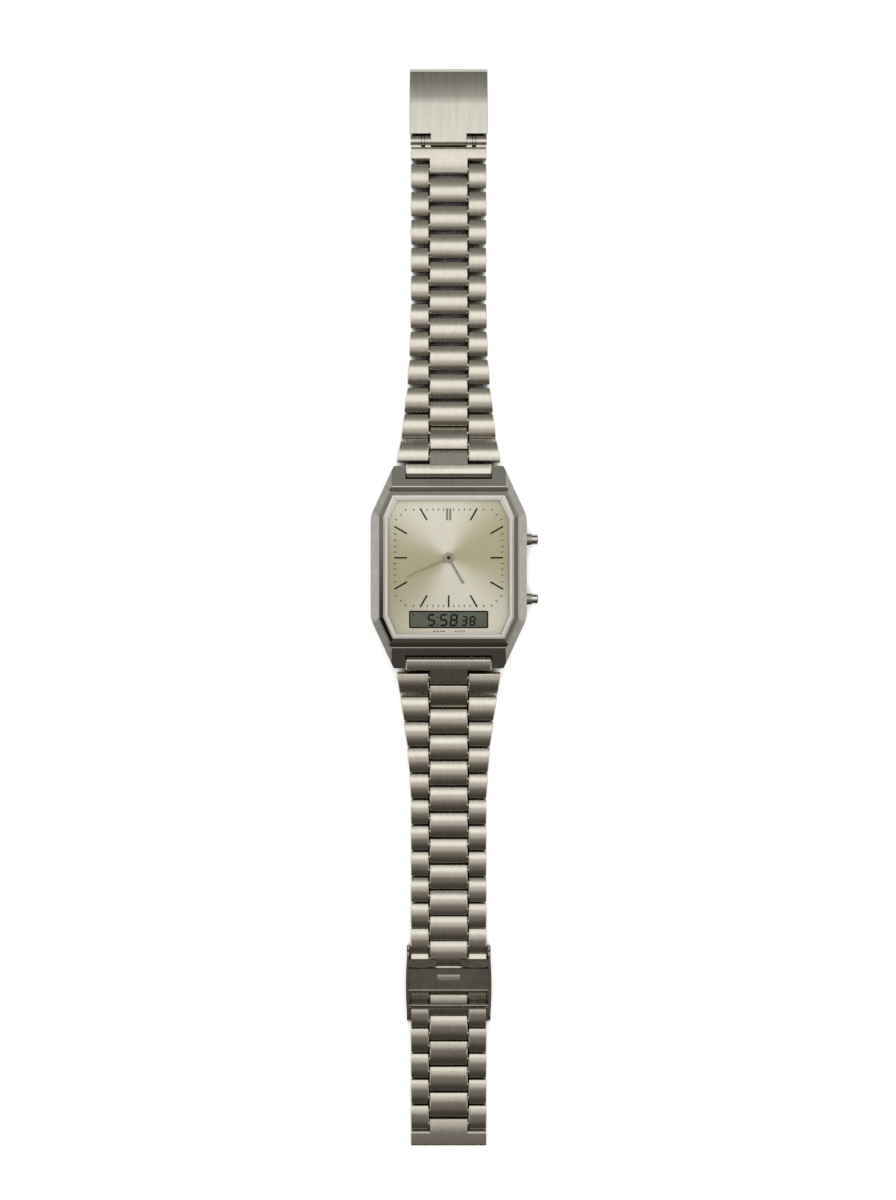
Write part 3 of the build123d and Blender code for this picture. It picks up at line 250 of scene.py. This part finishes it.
def marker_finish():
    """Applied batons: black lacquer on brass, but silvered at 12 o'clock."""
    made, tree, shader, place = start_material("lacquered_brass_batons")
    axes = add_node(tree, "ShaderNodeSeparateXYZ", {0: place})
    aside = maths(tree, "ABSOLUTE", axes.outputs["X"])
    narrow = maths(tree, "LESS_THAN", aside, 0.6 * MM)
    upper = maths(tree, "GREATER_THAN", axes.outputs["Y"], 5 * MM)
    twelve = maths(tree, "MULTIPLY", narrow, upper)
    spots = grain(tree, place, (0.1, 0.1, 0.1))
    black = blended(tree, spots, colour("070706"), colour("12110E"))
    silver = blended(tree, spots, colour("7F7D6E"), colour("A8A697"))
    tree.links.new(blended(tree, twelve, black, silver), shader.inputs["Base Color"])
    tree.links.new(twelve, shader.inputs["Metallic"])
    tree.links.new(spread(tree, spots, 0.25, 0.4), shader.inputs["Roughness"])
    shader.inputs["Specular IOR Level"].default_value = 0.15
    return made


def display_finish():
    """Display cell: grey-green polariser film on glass, its tone varying in faint clouds."""
    made, tree, shader, place = start_material("reflective_lcd_cell")
    cloud = grain(tree, place, (6.0, 3.0, 3.0), 1.0)
    fine = grain(tree, place, (0.08, 0.08, 0.08), 1.0)
    mixed = maths(tree, "ADD", cloud, fine)
    tree.links.new(blended(tree, spread(tree, mixed, 0, 1, 0.7, 1.3), colour("565A4B"), colour("6C705F")),
                   shader.inputs["Base Color"])
    tree.links.new(spread(tree, fine, 0.3, 0.4), shader.inputs["Roughness"])
    shader.inputs["IOR"].default_value = 1.5
    return made


def crystal_finish():
    """Mineral glass: clear, flat and polished, so it shows only where it is seen aslant.

    Its bevel and its edge carry a pale painted highlight, rougher and less clear than the face, which shows
    as a pale rim.
    """
    made, tree, shader, place = start_material("mineral_glass")
    haze = grain(tree, place, (0.4, 0.4, 0.4))
    height = add_node(tree, "ShaderNodeSeparateXYZ", {0: place}).outputs["Z"]
    below_top = maths(tree, "LESS_THAN", height, CRYSTAL_TOP - FACE_SKIN)
    above_foot = maths(tree, "GREATER_THAN", height, CRYSTAL_FOOT + FACE_SKIN)
    painted_rim_highlight = maths(tree, "MULTIPLY", below_top, above_foot)
    # Painted highlight: the bevel and edge faces get a pale colour and are made less clear, so they show as
    # a bright rim
    tree.links.new(blended(tree, painted_rim_highlight, colour("0C0E0B"), colour("D6D5CC")), shader.inputs["Base Color"])
    tree.links.new(blended(tree, painted_rim_highlight, spread(tree, haze, 0.02, 0.04), spread(tree, haze, 0.3, 0.4)),
                   shader.inputs["Roughness"])
    aslant = add_node(tree, "ShaderNodeLayerWeight", {"Blend": 0.25}).outputs["Fresnel"]
    clear = spread(tree, aslant, 0.02, 0.5, 0.0, 1.0)
    cover = maths(tree, "MULTIPLY", painted_rim_highlight, 0.65)
    tree.links.new(maths(tree, "MAXIMUM", clear, cover),
                   shader.inputs["Alpha"])
    shader.inputs["IOR"].default_value = 1.52
    shader.inputs["Specular IOR Level"].default_value = 1.0
    return made


def dress(material, *names):
    """Give CAD nodes their material."""
    for name in names:
        for slot in parts[name].material_slots:
            slot.material = material


links = [name for name in parts if name.startswith("link_")]
dress(BRUSHED_LINK, "end_piece_12", "end_piece_6", "clamped_links", "tail_link", "clasp_end_link", *links)
dress(BRUSHED_COVER, "clasp_cover")
dress(TUMBLED_CLASP_PAINTED_DARK, "slider_frame", "slider_lock_plate")
dress(POLISHED_CASE, "case_middle", "pusher_collars", "pusher_upper", "pusher_lower")
dress(POLISHED_BEZEL, "bezel")
dress(DRAWN_PIN, "spring_bars", "back_screws")
dress(BRUSHED_BACK, "case_back")
dress(PLATED_HAND, "hour_hand", "minute_hand")
dress(NICKEL_CAN, "button_cell", "motor_stator")
dress(CUT_BRASS, "buzzer", "hour_wheel", "minute_wheel", "intermediate_wheel")
dress(HARDENED_PINION, "cannon_pinion")
dress(COPPER_WIRE, "motor_coil")
dress(SINTERED_MAGNET, "rotor")
dress(NITRILE, "back_gasket", "lcd_connectors")
dress(NYLON, "crystal_gasket")
dress(FILLED_RESIN, "module_plate")
dress(SOLDER_MASK, "circuit_board")
dress(dial_finish(), "dial")
dress(marker_finish(), "dial_markers")
dress(display_finish(), "lcd_panel")
dress(crystal_finish(), "crystal")


# Modelling

def pick(piece, wanted):
    """Select the vertices that a test on their place wants, and nothing else."""
    bpy.ops.object.mode_set(mode="EDIT")
    bpy.ops.mesh.select_all(action="DESELECT")
    bpy.ops.object.mode_set(mode="OBJECT")
    for vertex in piece.data.vertices:
        vertex.select = bool(wanted(vertex.co))
    bpy.ops.object.mode_set(mode="EDIT")


def settle(piece, name, material, body):
    """Name a finished piece, keep its place in its mesh, and let it ride on its body."""
    bpy.ops.object.mode_set(mode="OBJECT")
    bpy.ops.object.select_all(action="DESELECT")
    piece.select_set(True)
    bpy.context.view_layer.objects.active = piece
    bpy.ops.object.transform_apply(location=True, rotation=True, scale=True)
    piece.name = name
    piece.data.name = name
    piece.data.materials.clear()
    piece.data.materials.append(material)
    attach(piece, body)
    return piece


def copy_of(piece, matrix):
    """A copy with its own mesh, carried by a matrix."""
    made = piece.copy()
    made.data = piece.data.copy()
    made.data.transform(matrix)
    bpy.context.collection.objects.link(made)
    return made


def join(pieces):
    """Join pieces into one object."""
    bpy.ops.object.select_all(action="DESELECT")
    for piece in pieces:
        piece.select_set(True)
    bpy.context.view_layer.objects.active = pieces[0]
    bpy.ops.object.join()
    return pieces[0]


def bar(length, width, height, point):
    """A flat printed bar along X: its ends drawn out to points of a given length, its edges sloped."""
    bpy.ops.object.select_all(action="DESELECT")
    bpy.ops.mesh.primitive_plane_add(size=1)
    piece = bpy.context.object
    bpy.ops.object.mode_set(mode="EDIT")
    bpy.ops.transform.resize(value=(length - 2 * point, width, 1))
    if point:
        for side in (1, -1):
            pick(piece, lambda co: co.x * side > 0)
            bpy.ops.mesh.extrude_region_move(TRANSFORM_OT_translate={"value": (side * point, 0, 0)})
            bpy.ops.transform.resize(value=(1, 0.12, 1))
    bpy.ops.mesh.select_all(action="SELECT")
    bpy.ops.mesh.extrude_region_move(TRANSFORM_OT_translate={"value": (0, 0, height)})
    bpy.ops.transform.resize(value=(0.97, 0.85, 1))
    bpy.ops.mesh.select_all(action="SELECT")
    bpy.ops.mesh.normals_make_consistent(inside=False)
    bpy.ops.object.mode_set(mode="OBJECT")
    return piece


def thrown_away(piece):
    """Remove a pattern piece once its copies are made."""
    bpy.data.objects.remove(piece, do_unlink=True)


# Digits of the display: seven segments each, leaning a little

LIT = {"3": "abcdg", "5": "acdfg", "8": "abcdefg"}
# Width, height and stroke of the hours and minutes, and of the small seconds
LARGE_FIGURE = (1.12 * MM, 2.02 * MM, 0.36 * MM)
SMALL_FIGURE = (0.86 * MM, 1.62 * MM, 0.3 * MM)
BORDER_SIZE = (15.3 * MM, 3.55 * MM)
BORDER_WIDTH = 0.36 * MM
BORDER_CORNER = 0.4 * MM
BORDER_LIFT = 0.01 * MM
BORDER_HEIGHT = 0.05 * MM


def digit(figure, x, y, width, height, stroke):
    """The lit segments of one figure about its centre."""
    upright = bar(height / 2 - 0.1 * stroke, stroke, 0.02 * MM, stroke / 2)
    level = bar(width - 0.1 * stroke, stroke, 0.02 * MM, stroke / 2)
    half_x, half_y = width / 2, height / 2
    stand = Matrix.Rotation(pi / 2, 4, "Z")
    places = {
        "a": (level, Matrix.Translation((0, half_y, 0))),
        "g": (level, Matrix.Identity(4)),
        "d": (level, Matrix.Translation((0, -half_y, 0))),
        "b": (upright, Matrix.Translation((half_x, half_y / 2, 0)) @ stand),
        "c": (upright, Matrix.Translation((half_x, -half_y / 2, 0)) @ stand),
        "f": (upright, Matrix.Translation((-half_x, half_y / 2, 0)) @ stand),
        "e": (upright, Matrix.Translation((-half_x, -half_y / 2, 0)) @ stand),
    }
    lean = Matrix.Shear("XZ", 4, (0.0, 0.0))
    lean[0][1] = 0.09
    put = Matrix.Translation((x, y, LCD_TOP)) @ lean
    made = [copy_of(places[s][0], put @ places[s][1]) for s in LIT[figure]]
    thrown_away(upright)
    thrown_away(level)
    return made


def lcd_figures():
    """Hours, minutes and small seconds, with the colon between and the mark in the corner."""
    row, low_row = -10.08 * MM, -10.25 * MM
    pieces = []
    for figure, x in (("5", -3.3), ("5", -0.95), ("8", 0.97)):
        pieces += digit(figure, x * MM, row, *LARGE_FIGURE)
    for figure, x in (("3", 2.98), ("8", 4.52)):
        pieces += digit(figure, x * MM, low_row, *SMALL_FIGURE)
    dot = bar(0.34 * MM, 0.3 * MM, 0.02 * MM, 0.06 * MM)
    for x, y in ((-2.11, 0.5), (-2.18, -0.8)):
        pieces.append(copy_of(dot, Matrix.Translation((x * MM, row + y * MM, LCD_TOP))))
    mark = Matrix.Translation((-6.72 * MM, -9.1 * MM, LCD_TOP)) @ Matrix.Rotation(radians(-60), 4, "Z")
    pieces.append(copy_of(dot, mark))
    thrown_away(dot)
    return settle(join(pieces), "lcd_figures", DARK_SEGMENT, "head")


lcd_figures()


def lcd_border():
    """The black frame that the window of the dial shows round the display: partly the printed border,
    partly painted shade of the window's edge.
    """
    bpy.ops.object.select_all(action="DESELECT")
    bpy.ops.mesh.primitive_plane_add(size=1, location=(0, LCD_MIDDLE_Y, LCD_TOP + BORDER_LIFT))
    piece = bpy.context.object
    bpy.ops.object.mode_set(mode="EDIT")
    bpy.ops.transform.resize(value=(*BORDER_SIZE, 1))
    bpy.ops.mesh.bevel(offset=BORDER_CORNER, segments=4, affect="VERTICES")
    bpy.ops.mesh.select_all(action="SELECT")
    bpy.ops.mesh.inset(thickness=BORDER_WIDTH)
    bpy.ops.mesh.delete(type="FACE")
    bpy.ops.mesh.select_all(action="SELECT")
    bpy.ops.mesh.extrude_region_move(TRANSFORM_OT_translate={"value": (0, 0, BORDER_HEIGHT)})
    bpy.ops.mesh.select_all(action="SELECT")
    bpy.ops.mesh.normals_make_consistent(inside=False)
    return settle(piece, "lcd_border", BLACK_PRINT_AND_PAINTED_SHADE, "head")


lcd_border()


# Print on the dial

# The minute track lies this far from the hands' axis: to the sides, up and down, and at its cut
# corners, where the sum of both distances counts
TRACK_ASIDE, TRACK_ALONG, TRACK_CORNER = 10.2 * MM, 9.17 * MM, 17.3 * MM
INK_HEIGHT = 0.012 * MM

def minute_track():
    """Short radial minute marks between the batons, on a square track with cut corners."""
    mark = bar(0.5 * MM, 0.17 * MM, INK_HEIGHT, 0.03 * MM)
    marks = []
    for minute in range(60):
        if minute % 5 == 0:
            continue
        turn = radians(90 - 6 * minute)
        c, s = abs(cos(turn)), abs(sin(turn))
        reach = min(TRACK_ASIDE / max(c, 0.01), TRACK_ALONG / max(s, 0.01), TRACK_CORNER / (c + s))
        put = Matrix.Translation((reach * cos(turn), HANDS_Y + reach * sin(turn), DIAL_TOP))
        marks.append(copy_of(mark, put @ Matrix.Rotation(turn, 4, "Z")))
    thrown_away(mark)
    return settle(join(marks), "minute_track", GREY_INK, "head")


def function_marks(name, material, low, high, count):
    """A row of small plain dashes under the display."""
    step = (high - low) / count
    dash = bar(step * 0.72 * MM, 0.2 * MM, INK_HEIGHT, 0.04 * MM)
    dashes = [copy_of(dash, Matrix.Translation(((low + (n + 0.5) * step) * MM, -12.2 * MM, DIAL_TOP)))
              for n in range(count)]
    thrown_away(dash)
    return settle(join(dashes), name, material, "head")


minute_track()
function_marks("grey_dashes", GREY_INK, -3.05, -0.65, 4)
function_marks("red_dashes", RED_INK, 1.1, 3.2, 4)


# Return springs of the pushers, a piece each, each with its own mesh

SPRING_WIRE = 0.18 * MM
SPRING_TURNS = 3


def return_spring(name, side):
    """A coil round a pusher's stem, as long as the pushers' spring node, riding on the head at full length.
    """
    low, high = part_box("pusher_springs")
    length = high[0] - low[0]
    coil = (high[2] - low[2] - SPRING_WIRE) / 2
    y = high[1] - coil - SPRING_WIRE / 2 if side > 0 else low[1] + coil + SPRING_WIRE / 2
    z = (low[2] + high[2]) / 2
    bpy.ops.object.select_all(action="DESELECT")
    bpy.ops.mesh.primitive_circle_add(vertices=10, radius=SPRING_WIRE / 2, location=(0, coil, 0))
    piece = bpy.context.object
    bpy.ops.object.transform_apply(location=True)
    bpy.ops.object.modifier_add(type="SCREW")
    winding = piece.modifiers[-1]
    winding.axis = "X"
    winding.iterations = SPRING_TURNS
    winding.screw_offset = (length - SPRING_WIRE) / SPRING_TURNS
    winding.steps = winding.render_steps = 24
    bpy.ops.object.modifier_apply(modifier=winding.name)
    bpy.ops.object.mode_set(mode="EDIT")
    bpy.ops.mesh.select_all(action="SELECT")
    bpy.ops.mesh.fill_holes(sides=0)
    bpy.ops.mesh.normals_make_consistent(inside=False)
    bpy.ops.object.mode_set(mode="OBJECT")
    piece.location = (low[0] + SPRING_WIRE / 2, y, z)
    settle(piece, name, DRAWN_PIN, "head")
    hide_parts("pusher_springs")
    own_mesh(piece)


return_spring("pusher_upper_spring", 1)
return_spring("pusher_lower_spring", -1)


# Studio: pale floor, a long soft lamp overhead and a plain room

def floor():
    bpy.ops.object.select_all(action="DESELECT")
    bpy.ops.mesh.primitive_grid_add(x_subdivisions=8, y_subdivisions=8, size=6, location=(0, 0, -0.02 * MM))
    piece = bpy.context.object
    piece.name = "studio_floor"
    made, tree, shader, place = start_material("matt_white_paper")
    fibre = grain(tree, place, (0.6, 0.6, 0.6))
    # Painted shade: the paper's colour and its lift are darkened by ambient occlusion where the watch
    # stands over it, at whatever pose: beside an upright edge
    #     half the sky is open and the paper stays white, and in a slit between two pieces far less is
    near = add_node(tree, "ShaderNodeAmbientOcclusion", {"Distance": 6.0 * MM}, samples=16).outputs["AO"]
    open_share_for_painted_shade = add_node(tree, "ShaderNodeMapRange", {
        "Value": near, "From Min": 0.25, "From Max": 0.5}).outputs[0]
    paper = blended(tree, fibre, colour("F0F0F0"), colour("F6F6F6"))
    tree.links.new(blended(tree, open_share_for_painted_shade, colour("2A2620"), paper), shader.inputs["Base Color"])
    shader.inputs["Roughness"].default_value = 0.9
    shader.inputs["Specular IOR Level"].default_value = 0.1
    path = add_node(tree, "ShaderNodeLightPath", {})
    seen = maths(tree, "MAXIMUM", path.outputs["Is Camera Ray"], path.outputs["Is Glossy Ray"])
    seen = maths(tree, "MAXIMUM", seen, path.outputs["Is Transmission Ray"])
    lift = maths(tree, "MULTIPLY", seen, open_share_for_painted_shade)
    lift = maths(tree, "MULTIPLY", lift, 0.4)
    shader.inputs["Emission Color"].default_value = (1, 1, 1, 1)
    tree.links.new(lift, shader.inputs["Emission Strength"])
    piece.data.materials.append(made)


floor()


def lamp(name, place, size, watts, tint, turn=(0, 0, 0)):
    """A soft rectangular lamp."""
    data = bpy.data.lights.new(name, "AREA")
    data.shape = "RECTANGLE"
    data.size, data.size_y = size
    data.energy = watts
    data.color = colour(tint)[:3]
    made = bpy.data.objects.new(name, data)
    made.location = place
    made.rotation_euler = [radians(a) for a in turn]
    made.visible_camera = False
    bpy.context.collection.objects.link(made)


# The softbox hangs over the 12 o'clock half, so the links there shine on their crowns and those of
# the other half on their upper slopes; its near end is dimmer
lamp("softbox", (0.0225, 0.075, 0.177), (0.185, 0.12), 0.072, "FFFFFB")
lamp("softbox_near_end", (0.0225, -0.0275, 0.177), (0.185, 0.085), 0.019, "FFFAF4")


def step_up(tree, value, low, high):
    """Rise smoothly from nought to one as a value passes from low to high."""
    return add_node(tree, "ShaderNodeMapRange", {"Value": value, "From Min": low, "From Max": high},
                    interpolation_type="SMOOTHSTEP").outputs[0]


def room():
    """The studio round the watch: even light on what is matt, and for the metal a room to mirror.

    That room is brownish behind the camera's foot, olive beyond its head, bright low down on both
    sides, and on the left it is grey above and black below.
    """
    world = bpy.data.worlds.new("studio_room")
    world.use_nodes = True
    world.cycles.sampling_method = "NONE"
    tree = world.node_tree
    tree.nodes.clear()
    way = add_node(tree, "ShaderNodeTexCoord", {}).outputs["Generated"]
    axes = add_node(tree, "ShaderNodeSeparateXYZ", {0: way})
    x, y = axes.outputs["X"], axes.outputs["Y"]
    half_y = add_node(tree, "ShaderNodeMapRange", {
        "Value": y, "From Min": -1.0, "From Max": 1.0}).outputs[0]
    along = add_node(tree, "ShaderNodeValToRGB", {"Fac": half_y}, stops=(
        (0.0, (0.05, 0.043, 0.036, 1)), (0.12, (0.07, 0.061, 0.052, 1)), (0.19, (0.085, 0.075, 0.064, 1)),
        (0.24, (0.16, 0.142, 0.124, 1)), (0.3, (0.21, 0.188, 0.165, 1)), (0.4, (0.22, 0.198, 0.175, 1)),
        (0.5, (0.22, 0.205, 0.185, 1)), (0.62, (0.31, 0.298, 0.272, 1)), (0.72, (0.42, 0.408, 0.375, 1)),
        (0.78, (0.42, 0.41, 0.372, 1)), (0.83, (0.27, 0.264, 0.236, 1)), (0.9, (0.24, 0.234, 0.208, 1)),
        (1.0, (0.11, 0.108, 0.096, 1)))).outputs[0]
    left = step_up(tree, maths(tree, "MULTIPLY", x, -1.0), 0.2, 0.4)
    wall = blended(tree, step_up(tree, y, 0.0, 0.02), (0.015, 0.013, 0.01, 1), (0.3, 0.285, 0.26, 1))
    sideways = blended(tree, left, along, wall)
    low = step_up(tree, maths(tree, "ABSOLUTE", x), 0.85, 0.97)
    mirrored = blended(tree, low, sideways, (0.62, 0.61, 0.58, 1))
    path = add_node(tree, "ShaderNodeLightPath", {})
    seen = blended(tree, path.outputs["Is Diffuse Ray"], mirrored, (0.86, 0.86, 0.85, 1))
    # Past the floor's far edge the camera itself sees plain white, which lights nothing
    seen = blended(tree, path.outputs["Is Camera Ray"], seen, (1, 1, 1, 1))
    back = add_node(tree, "ShaderNodeBackground", {"Color": seen, "Strength": 1.0})
    add_node(tree, "ShaderNodeOutputWorld", {"Surface": back.outputs[0]})
    scene.world = world


room()

# Camera straight above, with the photograph's frame of 896 by 1200: 0.1915 mm a pixel at the band
PHOTO_ROWS = 1200
PIXEL = 0.1915 * MM
SPAN = PHOTO_ROWS * PIXEL
DISTANCE = 0.55
lens = bpy.data.cameras.new("camera")
lens.sensor_width = 36
lens.lens = 36 * DISTANCE / SPAN
lens.clip_start, lens.clip_end = 0.01, 20
camera = bpy.data.objects.new("camera", lens)
camera.location = (-0.13 * MM, -6.26 * MM, DISTANCE + 3 * MM)
bpy.context.collection.objects.link(camera)
scene.camera = camera

scene.view_settings.view_transform = "Standard"
